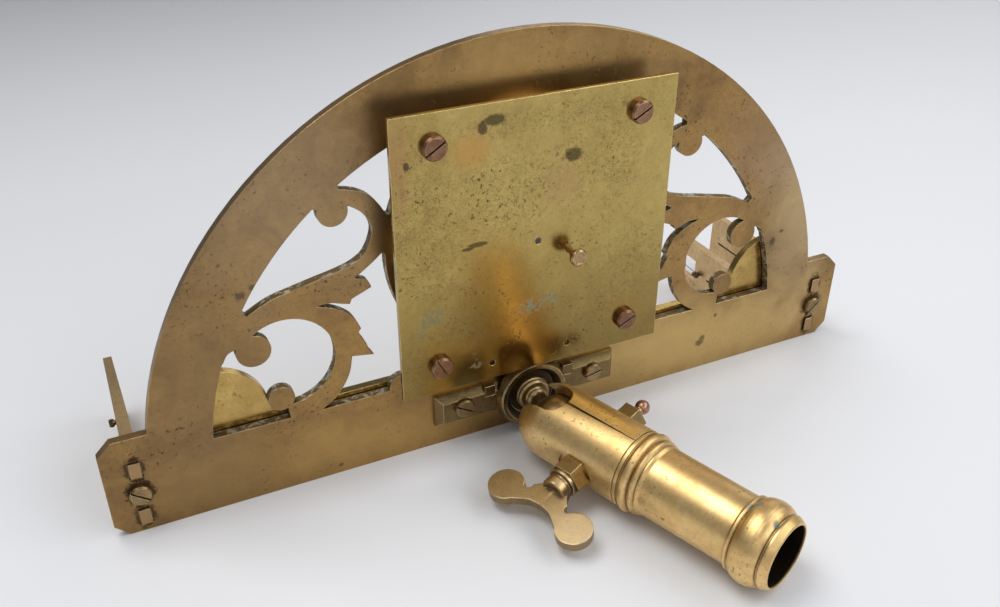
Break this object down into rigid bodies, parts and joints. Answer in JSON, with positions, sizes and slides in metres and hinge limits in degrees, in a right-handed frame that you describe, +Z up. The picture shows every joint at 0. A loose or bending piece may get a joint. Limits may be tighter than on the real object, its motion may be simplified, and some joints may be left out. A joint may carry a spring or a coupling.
{
  "type": "graphometer",
  "caption": "Surveyor's half-circle with compass box, fixed and turning sight vanes, and a folding ball-and-socket head with a wing clamp.",
  "frame": {"origin": "middle of the footprint of the whole, on the surface the instrument stands on, in the pose of the picture", "axes": "+X along the diameter bar, towards the side without the wing; +Y out of the graduated face; +Z up, from the bar towards the arc"},
  "size_m": [0.2984, 0.1858, 0.1508],
  "materials": {
    "limb_brass": "aged dark bronze-brown, worn bright on the edges",
    "box_brass": "aged brass, satin",
    "plate_brass": "aged yellow-green brass with green spots",
    "copper_screw": "reddish copper-brown, worn golden on the edges",
    "silvered_dial": "silvered brass, matte",
    "silvered_ring": "silvered brass, matte",
    "pivot_steel": "polished steel pin",
    "needle_steel": "blued steel",
    "cap_brass": "polished brass",
    "compass_glass": "clear flat glass",
    "ring_brass": "satin brass",
    "knob_brass": "copper-brown brass, worn golden",
    "vane_brass": "aged yellow brass, satin",
    "screw_brass": "dark brass, worn bright on the edges",
    "hair": "dark horsehair",
    "alidade_brass": "aged brass, satin",
    "bracket_brass": "aged brass with dark recesses",
    "collar_brass": "dark dished brass with a bright rim",
    "ball_brass": "polished by wear",
    "socket_brass": "golden brass polished by handling, pitted",
    "clamp_brass": "golden brass with bright chamfers",
    "clamp_copper": "reddish brass screw",
    "wing_brass": "brown brass with light worn edges"
  },
  "bodies": {
    "socket": {"socket_tube": "socket_brass", "clamp_jaw": "socket_brass", "clamp_nut": "clamp_brass"},
    "clamp": {"clamp_screw": "clamp_copper", "clamp_collar": "clamp_brass", "wing": "wing_brass"},
    "ball": {"ball_stem": "ball_brass", "stem_nut": "screw_brass", "pivot_screw": "screw_brass", "pivot_washer": "ring_brass"},
    "limb": {"limb": "limb_brass", "compass_box": "box_brass", "back_plate": "plate_brass", "plate_screws": "copper_screw", "compass_dial": "silvered_dial", "degree_ring": "silvered_ring", "needle_pivot": "pivot_steel", "compass_glass": "compass_glass", "glass_ring": "ring_brass", "fixed_vane_left": "vane_brass", "fixed_vane_right": "vane_brass", "fixed_vane_screws": "screw_brass", "fixed_hairs": "hair", "fixed_hair_screws": "screw_brass", "bracket": "bracket_brass", "bracket_screws": "screw_brass", "steady_pins": "screw_brass", "hub_collar": "collar_brass"},
    "alidade": {"alidade": "alidade_brass", "turning_vane_left": "vane_brass", "turning_vane_right": "vane_brass", "turning_vane_screws": "screw_brass", "turning_hairs": "hair", "turning_hair_screws": "screw_brass"},
    "needle": {"compass_needle": "needle_steel", "needle_cap": "cap_brass"},
    "needle_lock": {"lock_knob": "knob_brass", "needle_lifter": "ring_brass"}
  },
  "joints": [
    {"name": "fold", "type": "hinge", "parent": "socket", "child": "ball", "pos_m": [0.0016, -0.00207, 0.0158], "axis": [0.9847, 0, 0.1742], "range_deg": [-18, 80]},
    {"name": "swivel", "type": "hinge", "parent": "ball", "child": "limb", "pos_m": [0.0016, 0.02353, 0.0158], "axis": [0, 1, 0], "continuous": true},
    {"name": "alidade_turn", "type": "hinge", "parent": "limb", "child": "alidade", "pos_m": [0.0016, 0.02353, 0.0158], "axis": [0, 1, 0], "continuous": true},
    {"name": "needle_turn", "type": "hinge", "parent": "limb", "child": "needle", "pos_m": [0, 0.02353, 0.082], "axis": [0, 1, 0], "continuous": true},
    {"name": "needle_lock", "type": "slide", "parent": "limb", "child": "needle_lock", "axis": [0, 1, 0], "range_m": [0, 0.0024]},
    {"name": "clamp_turn", "type": "hinge", "parent": "socket", "child": "clamp", "pos_m": [0.00837, -0.02047, 0.01549], "axis": [-0.9223, -0.3361, -0.1908], "continuous": true}
  ]
}
